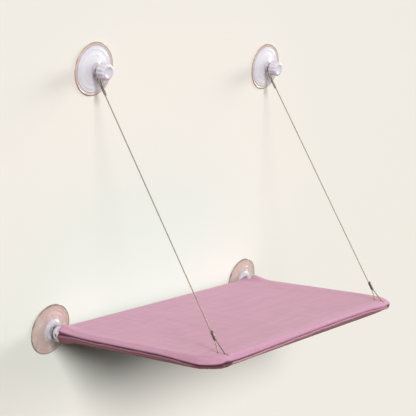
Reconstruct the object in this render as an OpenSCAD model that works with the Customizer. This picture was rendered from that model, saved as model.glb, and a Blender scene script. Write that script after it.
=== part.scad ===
// Window mounted cat perch: four suction cups, two wire ropes and a hinged bed.
// X runs along the window, -Y into the room and +Z up. The glass is the plane
// Y = 0, and the origin lies on it, midway between the two lower suction cups.

/* [Window layout] */
// Height of the upper suction cups above the lower ones
cup_rise = 404; // [380:1:450]
// Distance from the axis of a side tube to the wire rope beside it
rope_inset = 29; // [29:1:60]
// Upward tilt of the bed at rest, in degrees, front edge high
bed_tilt = 10; // [0:1:14]

/* [Suction cups] */
// Diameter of a suction cup pressed flat on the glass
cup_d = 81; // [70:1:90]
// Thickness of the lip at its outer edge
lip_t = 1.3; // [0.8:0.1:2]
// Height of the dome above the glass, where it meets the neck
dome_h = 6.5; // [5:0.1:7]
// Depth of the air pocket in the middle of a cup
pocket_h = 1.6; // [0.5:0.1:2]
// Inner diameter of the flat sealing ring on the glass
seal_d = 48; // [40:1:60]
// Diameter of the neck of an upper cup
upper_neck_d = 18; // [16:0.5:20]
// Height of the neck of an upper cup above the glass
upper_neck_h = 12; // [11:0.5:14]
// Diameter of the neck of a lower cup
lower_neck_d = 31; // [28:0.5:34]
// Height of the neck of a lower cup above the glass
lower_neck_h = 9.5; // [8:0.1:9.5]

/* [Upper fixings] */
// Diameter of the smooth shoulder of a stud, where the rope eye sits
shoulder_d = 8; // [7:0.5:9]
// Diameter of the stud's thread
thread_d = 6; // [5:0.5:6]
// Diameter of the moulded head of a stud or hinge lug
stud_head_d = 15; // [12:0.5:17]
// Thickness of the moulded head
stud_head_t = 2; // [1.5:0.1:2.2]
// Diameter of the washer under a knob
washer_d = 19; // [16:0.5:20]
// Thickness of the washer
washer_t = 1.2; // [0.8:0.1:1.5]
// Diameter of a knob
knob_d = 26; // [24:0.5:28]
// Length of a knob
knob_l = 15.2; // [14.5:0.1:18]
// Radius of the round at the outer end of a knob
knob_round = 3.2; // [2:0.1:4]
// Number of finger flutes round a knob
flutes = 12; // [8:1:16]
// Diameter of a finger flute
flute_d = 3.2; // [2.4:0.1:4]
// Depth of a finger flute
flute_depth = 0.6; // [0.3:0.1:1]
// Outer diameter of the brass insert in a knob
insert_d = 11; // [10:0.5:13]
// Length of the brass insert
insert_l = 9; // [7:0.5:9]

/* [Wire ropes] */
// Diameter of the wire rope
rope_d = 1.6; // [1.2:0.1:1.8]
// Length of a crimped ferrule
ferrule_l = 14; // [10:0.5:16]
// Wall of a crimped ferrule
ferrule_wall = 0.7; // [0.5:0.1:1]
// Distance from a stud to the near end of the upper ferrule, along the rope
upper_eye_l = 25; // [22:1:30]
// Distance from the front tube to the near end of the lower ferrule
lower_eye_l = 30; // [26:1:36]

/* [Bed frame] */
// Width between the axes of the two side tubes
frame_w = 504; // [440:1:600]
// Depth from the hinge axis to the axis of the front tube
frame_d = 288; // [240:1:320]
// Outer diameter of the frame tubes
tube_d = 12; // [11:0.5:13]
// Wall of the frame tubes
tube_wall = 0.8; // [0.6:0.1:1.2]
// Radius of the front corner bends at the tube's axis
corner_r = 26; // [20:1:26]
// Straight run of a corner bend towards the side tube
corner_leg = 12; // [8:1:30]
// Length of the spigots that join the tubes
spigot_l = 18; // [12:1:24]

/* [Bed hinge] */
// Distance of the hinge axis from the glass
hinge_off = 24; // [24:0.1:26]
// Diameter of the knuckle ball round the hinge axis
knuckle_d = 26; // [24:0.5:26]
// Length of the knuckle in front of the hinge axis
knuckle_l = 34; // [32:1:44]
// Length of the straight barrel at the front end of the knuckle
barrel_l = 3.2; // [2:0.1:5]
// Length of the socket that holds a side tube
socket_l = 22; // [18:1:22]
// Thickness of the cheek between the lug and the rear tube
cheek_t = 5.5; // [4:0.1:6]
// Thickness of the hinge lug
lug_t = 7; // [6:0.5:8]
// Height of the hinge lug
lug_w = 14; // [12:0.5:14]
// Diameter of the hinge pin
pin_d = 5; // [4:0.5:6]
// Running gap of the knuckle round the pin and of an insert round its thread
running_gap = 0.05; // [0.02:0.01:0.1]

/* [Cloth cover] */
// Thickness of the cloth
cloth_t = 0.8; // [0.5:0.1:1]
// Height of the seam above the middle of the edge
seam_z = 2; // [0:0.5:4]
// Width of the binding tape over the seam
binding_w = 4; // [3:0.5:5]
// Width of the closing flap under the front edge
flap_w = 24; // [18:1:40]
// Length of the slit that a rope passes through
slit_l = 18; // [17:0.5:24]
// Width of the slit
slit_w = 3.6; // [3:0.1:6]

/* [Hidden] */
$fn = 64;

// Small gaps between pieces that touch on the real perch
fit_gap = 0.05;
seat_gap = 0.3;
// Gap between a rope eye and what it goes round
eye_gap = 0.2;
// Overrun of a cut past the face that it opens
overrun = 1;
// Vinyl between a cup's air pocket and the moulded head above it
head_skin = 1.3;
// Curve of a cup's dome, where 1 is a straight cone
dome_power = 1.7;
// Depth of an insert behind the face of its knob
insert_recess = 1.3;
// Wall of a knob past the end of the thread
knob_wall = 1.2;
// Step of the round at a knob's end, in degrees
round_step = 15;
// Gap on each side of a lug in its knuckle
slot_gap = 0.4;
// Reach of a slit towards the front, where the front strand leaves over the round edge
slit_lead = 2;
// Depth of a hinge pin's ends inside the knuckle
pin_inset = 1.2;
// Least wall of a knuckle round its sockets
barrel_wall = 1.2;

cup_r = cup_d / 2;
rope_r = rope_d / 2;
tube_r = tube_d / 2;
knuckle_r = knuckle_d / 2;
rope_x = frame_w / 2 - rope_inset;

// Heights above the glass at an upper cup
head_z = pocket_h + head_skin;
eye_z = upper_neck_h + seat_gap + rope_r;
washer_z = eye_z + rope_r + seat_gap;
knob_z = washer_z + washer_t + seat_gap;
shoulder_top = washer_z + washer_t;
insert_z = knob_z + insert_recess;
thread_top = knob_z + knob_l - 2 * knob_wall;

// Rope eyes: radius round the stud and round the front tube
upper_eye_r = shoulder_d / 2 + eye_gap + rope_r;
lower_eye_r = tube_r + eye_gap + rope_r;
// Half the distance between the two strands in a ferrule
strand = rope_r + 2 * fit_gap;
// The upper strands hang straight down past the knob, then turn into the room
drop = knob_d / 2 + rope_d + seat_gap;

// A point of the bed: across, forward from the hinge axis, and up from the frame's plane
function on_bed(x, s, n) = [
    x,
    -hinge_off - s * cos(bed_tilt) + n * sin(bed_tilt),
    s * sin(bed_tilt) + n * cos(bed_tilt)
];
function unit(a) = a / norm(a);

rope_low = on_bed(rope_x, frame_d, 0);
rope_turn = [rope_x, -eye_z, cup_rise - drop];
rope_dir = unit(rope_low - rope_turn);
rope_side = [0, -rope_dir.z, rope_dir.y];
// Lean of the rope from upright, towards the glass
rope_lean = atan2(-rope_dir.y, -rope_dir.z);

// Cloth form: inner and outer radius of the edge, and of the mouth round a knuckle
cloth_in = max(lower_eye_r + rope_r, tube_r + barrel_wall) + 3 * fit_gap;
cloth_out = cloth_in + cloth_t;
mouth_in = knuckle_r + seat_gap;
mouth_out = mouth_in + cloth_t;
// A slit's middle lies this far behind the front tube: where the rope crosses the cover, less the lead
slit_shift = cloth_out * tan(rope_lean - bed_tilt) - slit_lead;
// Forward reach of the knuckle's full width, and the end of its taper
ball_s = knuckle_r / 2;
taper_s = knuckle_l - barrel_l;
barrel_r = cloth_in - seat_gap;
// The mouth narrows as the knuckle does, and runs on until it is inside the cover's edge
mouth_drop = mouth_out - cloth_in + 2 * seat_gap;
mouth_end = ball_s + seat_gap + mouth_drop * (taper_s - ball_s) / (knuckle_r - barrel_r);

// The straight run of a corner bend along the front ends clear of the rope
front_leg = rope_inset - corner_r + tube_d;
bend_x = frame_w / 2 - corner_r;
bend_s = frame_d - corner_r;
tube_in_r = tube_r - tube_wall;
spigot_r = tube_in_r - fit_gap;
spigot_in_r = spigot_r - tube_wall;
slot_r = lug_w / 2 + slot_gap;
rear_socket = lug_t / 2 + slot_gap + cheek_t;
tube_stop = knuckle_l - socket_l;

// Turns a piece drawn along +Z to stand on the glass and point into the room
module from_glass(x, z) {
    translate([x, 0, z]) rotate([90, 0, 0]) children();
}

// Puts a piece of the flat bed, front towards -Y, on the tilted bed
module bed_place() {
    translate([0, -hinge_off, 0]) rotate([-bed_tilt, 0, 0]) children();
}

// A cylinder from one X to another, on the hinge axis of the flat bed
module rod_x(x0, x1, r) {
    translate([min(x0, x1), 0, 0]) rotate([0, 90, 0]) cylinder(h = abs(x1 - x0), r = r);
}

// A cylinder along the flat bed, from one distance forward to another
module rod_s(s0, s1, r) {
    rotate([90, 0, 0]) translate([0, 0, s0]) cylinder(h = s1 - s0, r = r);
}

// Two half rounds with a bar between them, wide along X
module oval(half_gap, r) {
    translate([-half_gap, 0]) circle(r = r, $fn = 32);
    translate([half_gap, 0]) circle(r = r, $fn = 32);
    square([2 * half_gap, 2 * r], center = true);
}

// Suction cup

// Height of the dome at a share of the way in from the lip to the neck
function dome(share) = lip_t + (dome_h - lip_t) * pow(share, dome_power);

module cup_body(neck_d, neck_h) {
    neck_r = neck_d / 2;
    steps = 10;
    rotate_extrude($fn = 96) polygon(concat(
        [[0, pocket_h], [seal_d / 2, 0], [cup_r, 0]],
        [for (i = [0 : steps]) [cup_r + (neck_r - cup_r) * i / steps, dome(i / steps)]],
        [[neck_r, neck_h], [0, neck_h]]
    ));
}

module upper_suction_cup(side) {
    color([0.88, 0.87, 0.87, 0.6]) from_glass(side * rope_x, cup_rise) difference() {
        cup_body(upper_neck_d, upper_neck_h);
        stud_body(fit_gap);
    }
}

module lower_suction_cup(side) {
    color([0.78, 0.69, 0.66, 0.7]) from_glass(side * frame_w / 2, 0) difference() {
        cup_body(lower_neck_d, lower_neck_h);
        lug_body(fit_gap);
    }
}

// Upper fixings

// The stud without its thread, grown by a gap
module stud_body(gap) {
    translate([0, 0, head_z - gap]) cylinder(h = stud_head_t + 2 * gap, r = stud_head_d / 2 + gap);
    translate([0, 0, head_z]) cylinder(h = shoulder_top - head_z, r = shoulder_d / 2 + gap);
}

module stud(side) {
    color("silver") from_glass(side * rope_x, cup_rise) {
        stud_body(0);
        translate([0, 0, shoulder_top - overrun])
            cylinder(h = thread_top - shoulder_top + overrun, r = thread_d / 2);
    }
}

module washer(side) {
    bore_r = shoulder_d / 2 + 2 * fit_gap;
    color("gainsboro") from_glass(side * rope_x, cup_rise) translate([0, 0, washer_z]) difference() {
        cylinder(h = washer_t, r = washer_d / 2);
        translate([0, 0, -overrun]) cylinder(h = washer_t + 2 * overrun, r = bore_r);
    }
}

module knob(side) {
    r = knob_d / 2;
    flute_r = flute_d / 2;
    chamfer = knob_wall / 2;
    thread_room = thread_top + knob_wall - insert_z - insert_l;
    color([0.86, 0.85, 0.88, 0.9]) from_glass(side * rope_x, cup_rise) difference() {
        translate([0, 0, knob_z]) rotate_extrude() polygon(concat(
            [[0, 0], [r - chamfer, 0], [r, chamfer]],
            [for (a = [0 : round_step : 90])
                [r - knob_round * (1 - cos(a)), knob_l - knob_round * (1 - sin(a))]],
            [[0, knob_l]]
        ));
        for (i = [0 : flutes - 1])
            rotate([0, 0, (i + 0.5) * 360 / flutes])
                translate([r + flute_r - flute_depth, 0, knob_z - overrun])
                    cylinder(h = knob_l + 2 * overrun, r = flute_r, $fn = 24);
        translate([0, 0, knob_z - overrun])
            cylinder(h = insert_z - knob_z + 2 * overrun, r = shoulder_d / 2 + seat_gap);
        translate([0, 0, insert_z]) cylinder(h = insert_l, r = insert_d / 2 + fit_gap);
        translate([0, 0, insert_z + insert_l - overrun])
            cylinder(h = thread_room + overrun, r = thread_d / 2 + seat_gap);
    }
}

module knob_insert(side) {
    color("goldenrod") from_glass(side * rope_x, cup_rise) translate([0, 0, insert_z]) difference() {
        cylinder(h = insert_l, r = insert_d / 2);
        translate([0, 0, -overrun]) cylinder(h = insert_l + 2 * overrun, r = thread_d / 2 + running_gap);
    }
}

// Wire ropes

// A point of the upper eye: across from the rope's middle, and along it from the stud
function upper_point(p, q) =
    let (past = max(0, q - drop))
    [rope_x + p, -eye_z + past * rope_dir.y, cup_rise - min(q, drop) + past * rope_dir.z];
// A point of the lower eye: along the rope's side vector, and up the rope from the tube
function lower_point(p, q) = rope_low + p * rope_side - q * rope_dir;

function along(a, b, share) = a + (b - a) * share;

upper_slope = asin((upper_eye_r - strand) / upper_eye_l);
lower_slope = asin((lower_eye_r - strand) / lower_eye_l);
upper_leave = [upper_eye_r * cos(upper_slope), upper_eye_r * sin(upper_slope)];
lower_leave = [lower_eye_r * cos(lower_slope), lower_eye_r * sin(lower_slope)];
// Shares of a strand between the stud and the ferrule where the rope has a ring
leg_shares = [0.3, 0.55, 0.66, 0.78, 1];
arc_steps = 10;

function upper_leg(side, share) = upper_point(
    side * along(upper_leave.x, strand, share), along(upper_leave.y, upper_eye_l, share));

rope_route = concat(
    [upper_point(-strand, upper_eye_l + ferrule_l + rope_d)],
    [for (i = [len(leg_shares) - 1 : -1 : 0]) upper_leg(-1, leg_shares[i])],
    [for (i = [0 : arc_steps]) let (a = 180 - upper_slope + (180 + 2 * upper_slope) * i / arc_steps)
        upper_point(upper_eye_r * cos(a), upper_eye_r * sin(a))],
    [for (share = leg_shares) upper_leg(1, share)],
    [upper_point(strand, upper_eye_l + ferrule_l + rope_d)],
    [lower_point(strand, lower_eye_l + ferrule_l + rope_d), lower_point(strand, lower_eye_l)],
    [for (i = [0 : arc_steps]) let (a = lower_slope - (180 + 2 * lower_slope) * i / arc_steps)
        lower_point(lower_eye_r * cos(a), lower_eye_r * sin(a))],
    [lower_point(-strand, lower_eye_l), lower_point(-strand, lower_eye_l + ferrule_l + rope_d)]
);

// Direction from a point of a route to the next one, and the directions at its points
function step_way(route, i) = unit(route[i + 1] - route[i]);
function headings(route) = let (last = len(route) - 1)
    [for (i = [0 : last]) unit(step_way(route, max(i - 1, 0)) + step_way(route, min(i, last - 1)))];
// A ring's first direction, carried along the route without twist
function carried(ways, i) = i == 0
    ? unit(cross(ways[0], [0, 1, 0]))
    : let (last = carried(ways, i - 1)) unit(last - (last * ways[i]) * ways[i]);

// One closed tube with eight sides along a route
module swept_tube(route, r) {
    sides = 8;
    ways = headings(route);
    rings = len(route);
    points = [for (i = [0 : rings - 1])
        let (a = carried(ways, i), b = cross(ways[i], a))
        for (k = [0 : sides - 1]) route[i] + r * (cos(360 * k / sides) * a + sin(360 * k / sides) * b)];
    walls = [for (i = [0 : rings - 2]) for (k = [0 : sides - 1])
        let (n = (k + 1) % sides, p = i * sides)
        each [[p + k, p + sides + k, p + sides + n], [p + k, p + sides + n, p + n]]];
    start_cap = [[for (k = [0 : sides - 1]) k]];
    end_cap = [[for (k = [sides - 1 : -1 : 0]) (rings - 1) * sides + k]];
    polyhedron(points = points, faces = concat(start_cap, walls, end_cap), convexity = 8);
}

module wire_rope(side) {
    color("tan") mirror([side < 0 ? 1 : 0, 0, 0]) swept_tube(rope_route, rope_r);
}

module ferrule_body() {
    linear_extrude(height = ferrule_l) difference() {
        oval(strand, rope_r + fit_gap + ferrule_wall);
        oval(strand, rope_r + fit_gap);
    }
}

module upper_ferrule(side) {
    color("silver") translate([(side - 1) * rope_x, 0, 0])
        translate(upper_point(0, upper_eye_l + ferrule_l)) rotate([-rope_lean, 0, 0]) ferrule_body();
}

module lower_ferrule(side) {
    color("silver") translate([(side - 1) * rope_x, 0, 0])
        translate(lower_point(0, lower_eye_l)) rotate([-rope_lean, 0, 0]) rotate([0, 0, 90]) ferrule_body();
}

// Bed hinge

// The lug with its moulded head, grown by a gap
module lug_body(gap) {
    translate([0, 0, head_z - gap]) cylinder(h = stud_head_t + 2 * gap, r = stud_head_d / 2 + gap);
    translate([-lug_t / 2 - gap, -lug_w / 2 - gap, head_z])
        cube([lug_t + 2 * gap, lug_w + 2 * gap, hinge_off - head_z]);
}

module hinge_lug(side) {
    color("silver") from_glass(side * frame_w / 2, 0) difference() {
        union() {
            lug_body(0);
            translate([0, 0, hinge_off]) rod_x(-lug_t / 2, lug_t / 2, lug_w / 2);
        }
        translate([0, 0, hinge_off]) rod_x(-lug_t, lug_t, pin_d / 2 + fit_gap / 2);
    }
}

module hinge_pin(side) {
    inner_end = rear_socket - pin_inset;
    outer_end = knuckle_r - pin_inset;
    color("gray") translate([side * frame_w / 2, -hinge_off, 0])
        rod_x(-side * inner_end, side * outer_end, pin_d / 2);
}

module knuckle(side) {
    rear_boss = knuckle_r + spigot_l;
    color([0.82, 0.82, 0.84, 0.9]) bed_place() translate([side * frame_w / 2, 0, 0]) difference() {
        union() {
            sphere(r = knuckle_r);
            rod_s(0, ball_s, knuckle_r);
            rotate([90, 0, 0]) translate([0, 0, ball_s])
                cylinder(h = taper_s - ball_s, r1 = knuckle_r, r2 = barrel_r);
            rod_s(taper_s, knuckle_l, barrel_r);
            rod_x(0, -side * rear_boss, barrel_r);
        }
        // The slot is open behind and on top, where the lug comes out as the bed folds up
        translate([-lug_t / 2 - slot_gap, -slot_r, -slot_r])
            cube([lug_t + 2 * slot_gap, knuckle_d + slot_r, knuckle_d + slot_r]);
        rod_x(-side * knuckle_d, side * knuckle_d, pin_d / 2 + running_gap);
        rod_x(-side * rear_socket, -side * (rear_boss + overrun), tube_r + fit_gap);
        rod_s(tube_stop, knuckle_l + overrun, tube_r + fit_gap);
    }
}

// Bed frame

module side_tube(side) {
    color("dimgray") bed_place() translate([side * frame_w / 2, 0, 0]) difference() {
        rod_s(tube_stop + seat_gap, bend_s - corner_leg - seat_gap, tube_r);
        rod_s(tube_stop - overrun, bend_s, tube_in_r);
    }
}

// The straight runs of a corner bend, longer by the given length
module corner_legs(r, more) {
    translate([bend_x, -bend_s, 0]) {
        translate([corner_r, 0, 0]) rotate([-90, 0, 0]) cylinder(h = corner_leg + more, r = r);
        translate([0, -corner_r, 0]) rotate([0, -90, 0]) cylinder(h = front_leg + more, r = r);
    }
}

module corner_path(r, more) {
    corner_legs(r, more);
    translate([bend_x, -bend_s, 0]) rotate([0, 0, -90])
        rotate_extrude(angle = 90) translate([corner_r, 0]) circle(r = r, $fn = 48);
}

module corner_bend(side) {
    color("dimgray") bed_place() mirror([side < 0 ? 1 : 0, 0, 0]) difference() {
        union() {
            corner_path(tube_r, 0);
            corner_legs(spigot_r, spigot_l);
        }
        corner_path(spigot_in_r, spigot_l + overrun);
    }
}

module front_tube() {
    half = bend_x - front_leg - seat_gap;
    color("dimgray") bed_place() translate([0, -frame_d, 0]) difference() {
        rod_x(-half, half, tube_r);
        rod_x(-half - overrun, half + overrun, tube_in_r);
    }
}

module rear_tube() {
    half = frame_w / 2 - rear_socket - seat_gap;
    color("dimgray") bed_place() difference() {
        rod_x(-half, half, tube_r);
        rod_x(-half - overrun, half + overrun, tube_in_r);
    }
}

// Cloth cover

// The filled form of the covered bed, with an edge of the given radius
module cover_form(r) {
    hull() for (side = [-1, 1]) {
        translate([side * bend_x, -bend_s, 0])
            rotate_extrude($fn = 48) translate([corner_r, 0]) circle(r = r, $fn = 24);
        translate([side * frame_w / 2, 0, 0]) sphere(r = r, $fn = 24);
    }
}

// The mouths of the cover round the knuckles, with the given radius at their start
module mouth_form(r) {
    for (side = [-1, 1]) translate([side * frame_w / 2, 0, 0]) rotate([90, 0, 0])
        rotate_extrude($fn = 48) polygon([
            [0, -overrun], [r, -overrun], [r, ball_s + seat_gap],
            [r - mouth_drop, mouth_end], [0, mouth_end]]);
}

module cover_shell() {
    difference() {
        union() {
            cover_form(cloth_out);
            mouth_form(mouth_out);
        }
        cover_form(cloth_in);
        mouth_form(mouth_in);
        // A mouth starts level with the front of the knuckle's slot
        for (side = [-1, 1]) translate([side * frame_w / 2, knuckle_r - slot_r, 0])
            cube([2 * (mouth_out + overrun), knuckle_d, 2 * knuckle_d], center = true);
        for (side = [-1, 1]) translate([side * rope_x, -frame_d + slit_shift, cloth_out])
            cube([slit_w, slit_l, 2 * cloth_in], center = true);
    }
}

// All of the covered bed above or below the seam
module beside_seam(up) {
    room = 2 * frame_w;
    edge = seam_z + up * fit_gap;
    translate([-room / 2, -room / 2, up > 0 ? edge : edge - room]) cube([room, room, room]);
}

module cover_top_panel() {
    color("pink") bed_place() intersection() {
        cover_shell();
        beside_seam(1);
    }
}

module cover_bottom_panel() {
    color("palevioletred") bed_place() intersection() {
        cover_shell();
        beside_seam(-1);
    }
}

module cover_outline(r) {
    hull() for (side = [-1, 1]) {
        translate([side * bend_x, -bend_s]) circle(r = corner_r + r, $fn = 96);
        translate([side * frame_w / 2, -taper_s]) square([2 * r, fit_gap], center = true);
    }
}

module cover_binding() {
    color("rosybrown") bed_place() translate([0, 0, seam_z - binding_w / 2])
        linear_extrude(height = binding_w) difference() {
            cover_outline(cloth_out + fit_gap + cloth_t / 2);
            cover_outline(cloth_out + fit_gap);
            translate([-frame_w, -taper_s - overrun]) square([2 * frame_w, frame_d]);
        }
}

module cover_front_flap() {
    color("palevioletred") bed_place()
        translate([-bend_x, -frame_d, -cloth_out - fit_gap - cloth_t]) cube([2 * bend_x, flap_w, cloth_t]);
}

upper_suction_cup(-1);  // upper_left_suction_cup
upper_suction_cup(1);  // upper_right_suction_cup
lower_suction_cup(-1);  // lower_left_suction_cup
lower_suction_cup(1);  // lower_right_suction_cup
stud(-1);  // upper_left_stud
stud(1);  // upper_right_stud
washer(-1);  // upper_left_washer
washer(1);  // upper_right_washer
knob(-1);  // upper_left_knob
knob(1);  // upper_right_knob
knob_insert(-1);  // upper_left_knob_insert
knob_insert(1);  // upper_right_knob_insert
wire_rope(-1);  // left_wire_rope
wire_rope(1);  // right_wire_rope
upper_ferrule(-1);  // upper_left_ferrule
upper_ferrule(1);  // upper_right_ferrule
lower_ferrule(-1);  // lower_left_ferrule
lower_ferrule(1);  // lower_right_ferrule
hinge_lug(-1);  // left_hinge_lug
hinge_lug(1);  // right_hinge_lug
hinge_pin(-1);  // left_hinge_pin
hinge_pin(1);  // right_hinge_pin
knuckle(-1);  // left_knuckle
knuckle(1);  // right_knuckle
side_tube(-1);  // left_side_tube
side_tube(1);  // right_side_tube
corner_bend(-1);  // left_corner_bend
corner_bend(1);  // right_corner_bend
front_tube();
rear_tube();
cover_top_panel();
cover_bottom_panel();
cover_binding();
cover_front_flap();
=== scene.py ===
from math import acos, asin, atan2, ceil, cos, exp, hypot, pi, radians, sin, sqrt

import bmesh
import bpy
from mathutils import Matrix, Vector


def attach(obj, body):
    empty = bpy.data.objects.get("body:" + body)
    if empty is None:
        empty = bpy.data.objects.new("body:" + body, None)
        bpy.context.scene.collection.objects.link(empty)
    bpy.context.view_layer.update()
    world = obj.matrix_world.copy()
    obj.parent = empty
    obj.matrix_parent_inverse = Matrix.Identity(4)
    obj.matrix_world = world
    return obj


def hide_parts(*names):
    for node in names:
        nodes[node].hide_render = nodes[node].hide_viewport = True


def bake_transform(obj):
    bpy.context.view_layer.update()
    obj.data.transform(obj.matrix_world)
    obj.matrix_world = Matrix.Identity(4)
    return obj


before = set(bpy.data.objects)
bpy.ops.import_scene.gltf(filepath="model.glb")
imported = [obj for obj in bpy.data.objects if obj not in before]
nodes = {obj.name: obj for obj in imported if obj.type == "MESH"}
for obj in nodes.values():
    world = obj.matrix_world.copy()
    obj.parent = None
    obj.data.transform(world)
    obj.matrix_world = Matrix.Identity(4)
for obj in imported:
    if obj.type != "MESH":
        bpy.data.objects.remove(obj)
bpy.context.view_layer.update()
bpy.ops.object.select_all(action="DESELECT")

# Lengths below are in millimetres, and this turns them into metres
MM = 0.001

# Window layout: the cups' axes, the upper eyes' distance from the glass, and where a rope turns to the bed
ROPE_X = 223
CUP_X = 252
CUP_RISE = 404
EYE_Y = 13.1
EYE_DROP = 14.9

# Bed: the tube frame's axes, its tilt and the hinge
HINGE_Y = 24
TILT = radians(10)
HALF_W = 252
DEPTH = 288
CORNER_R = 26
# Centres of the front corners' arcs
ARC_X = HALF_W - CORNER_R
ARC_S = DEPTH - CORNER_R

# Wire rope, how far its two strands lie from a ferrule's middle, its eyes and the ferrules
ROPE_R = 0.8
STRAND = 0.9
UPPER_EYE_R = 5
LOWER_EYE_R = 7
UPPER_EYE_L = 25
LOWER_EYE_L = 30
FERRULE_L = 14

# Cloth, measured at the middle of its thickness
CLOTH_T = 0.8
EDGE_R = 8.35
SEAM_Z = 2
MOUTH_S = 7.4
MOUTH_R = 14.3
MOUTH_TAPER = 0.22

# Suction cups
CUP_R = 40.5


def side_name(side):
    return "left" if side < 0 else "right"


def on_bed(x, s, n):
    """A point of the bed in metres: across, forward from the hinge axis, and up from the tubes' plane."""
    return Vector((
        x,
        -HINGE_Y - s * cos(TILT) + n * sin(TILT),
        s * sin(TILT) + n * cos(TILT),
    )) * MM


# One millimetre up from the bed, and one forward along it
BED_UP = on_bed(0, 0, 1) - on_bed(0, 0, 0)
BED_FORWARD = on_bed(0, 1, 0) - on_bed(0, 0, 0)


# Camera

PICTURE_PX = 416
FOCAL_PX = 1166.7
CAMERA_AT = (-1501.2, -1162.5, 633.3)
CAMERA_YAW = radians(-54.25)
CAMERA_PITCH = radians(-13.55)
CAMERA_ROLL = radians(8.26)


def new_object(name, data):
    made = bpy.data.objects.new(name, data)
    bpy.context.collection.objects.link(made)
    return made


def make_camera():
    data = bpy.data.cameras.new("camera")
    data.lens = data.sensor_width * FOCAL_PX / PICTURE_PX
    camera = new_object("camera", data)
    turn = Matrix.Rotation(CAMERA_YAW, 4, "Z") @ Matrix.Rotation(pi / 2 + CAMERA_PITCH, 4, "X")
    turn = turn @ Matrix.Rotation(CAMERA_ROLL, 4, "Z")
    camera.matrix_world = Matrix.Translation(Vector(CAMERA_AT) * MM) @ turn
    bpy.context.scene.camera = camera


make_camera()


# Wire ropes

ROPE_LOW = on_bed(ROPE_X, DEPTH, 0)
ROPE_TURN = Vector((ROPE_X, -EYE_Y, CUP_RISE - EYE_DROP)) * MM
ROPE_DIR = (ROPE_LOW - ROPE_TURN).normalized()
ROPE_SIDE = Vector((0, -ROPE_DIR.z, ROPE_DIR.y))
ROPE_STRANDS = 6
ROPE_LAY = 11
ROPE_RING_STEP = 1.1
# The hollows between strands lie at this share of the radius
HOLLOW_SHARE = 0.8
# Angle at which an eye's legs leave its round part
UPPER_LEAN = asin((UPPER_EYE_R - STRAND) / UPPER_EYE_L)
LOWER_LEAN = asin((LOWER_EYE_R - STRAND) / LOWER_EYE_L)
LEG_SHARES = (0.3, 0.55, 0.66, 0.78, 1)
ARC_STEPS = 24


def upper_point(p, q):
    """A point of an upper eye: across from the rope's middle, and along it from the stud."""
    past = max(0, q - EYE_DROP)
    down = Vector((ROPE_X + p, -EYE_Y, CUP_RISE - min(q, EYE_DROP))) * MM
    return down + ROPE_DIR * past * MM


def lower_point(p, q):
    """A point of a lower eye: along the rope's side, and up the rope from the front tube."""
    return ROPE_LOW + (ROPE_SIDE * p - ROPE_DIR * q) * MM


def upper_leg(side, share):
    """A point on a leg of the upper eye, at a share of the way from its round part to the ferrule."""
    p = UPPER_EYE_R * cos(UPPER_LEAN) * (1 - share) + STRAND * share
    q = UPPER_EYE_R * sin(UPPER_LEAN) * (1 - share) + UPPER_EYE_L * share
    return upper_point(side * p, q)


def round_part(point_at, radius, start, sweep):
    """Points of an eye's round part, from an angle and over a sweep."""
    angles = [start + sweep * i / ARC_STEPS for i in range(ARC_STEPS + 1)]
    return [point_at(radius * cos(a), radius * sin(a)) for a in angles]


def rope_route():
    """The right rope from its upper tail round both eyes to its lower tail."""
    upper_tail = UPPER_EYE_L + FERRULE_L + 2 * ROPE_R
    lower_tail = LOWER_EYE_L + FERRULE_L + 2 * ROPE_R
    route = [upper_point(-STRAND, upper_tail)]
    route += [upper_leg(-1, share) for share in reversed(LEG_SHARES)]
    route += round_part(upper_point, UPPER_EYE_R, pi - UPPER_LEAN, pi + 2 * UPPER_LEAN)
    route += [upper_leg(1, share) for share in LEG_SHARES]
    route += [upper_point(STRAND, upper_tail), lower_point(STRAND, lower_tail),
              lower_point(STRAND, LOWER_EYE_L)]
    route += round_part(lower_point, LOWER_EYE_R, LOWER_LEAN, -pi - 2 * LOWER_LEAN)
    route += [lower_point(-STRAND, LOWER_EYE_L), lower_point(-STRAND, lower_tail)]
    return route


def evenly(route, step):
    """The route with points no further apart than a step."""
    points = [route[0]]
    for a, b in zip(route, route[1:]):
        parts = max(1, ceil((b - a).length / step))
        points += [a.lerp(b, i / parts) for i in range(1, parts + 1)]
    return points


def length_of(route):
    return sum((b - a).length for a, b in zip(route, route[1:]))


def heading(route, i):
    """Direction of a route at one of its points."""
    return (route[min(i + 1, len(route) - 1)] - route[max(i - 1, 0)]).normalized()


def close_tube(mesh, rings):
    """Adds the faces between neighbouring rings of points, and one over each end."""
    sides = len(rings[0])
    for near, far in zip(rings, rings[1:]):
        for k in range(sides):
            n = (k + 1) % sides
            mesh.faces.new((near[k], near[n], far[n], far[k]))
    mesh.faces.new(list(reversed(rings[0])))
    mesh.faces.new(rings[-1])


def finished(name, mesh):
    """A new object from a bmesh, smooth, with its faces turned outwards."""
    bmesh.ops.recalc_face_normals(mesh, faces=mesh.faces)
    data = bpy.data.meshes.new(name)
    mesh.to_mesh(data)
    mesh.free()
    for face in data.polygons:
        face.use_smooth = True
    return new_object(name, data)


def stranded_tube(name, route, radius, strands, lay):
    """Twisted strands along a route: a lobed section that turns once in each lay, in millimetres."""
    mesh = bmesh.new()
    sides = 2 * strands
    across = (route[1] - route[0]).cross(Vector((0, 1, 0))).normalized()
    run = 0
    rings = []
    for i, point in enumerate(route):
        ahead = heading(route, i)
        across = (across - ahead * across.dot(ahead)).normalized()
        over = ahead.cross(across)
        run += (point - route[i - 1]).length if i else 0
        twist = 2 * pi * run / (lay * MM)
        ring = []
        for k in range(sides):
            a = 2 * pi * k / sides + twist
            r = radius * MM * (HOLLOW_SHARE if k % 2 else 1)
            ring.append(mesh.verts.new(point + (across * cos(a) + over * sin(a)) * r))
        rings.append(ring)
    close_tube(mesh, rings)
    return finished(name, mesh)


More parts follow.
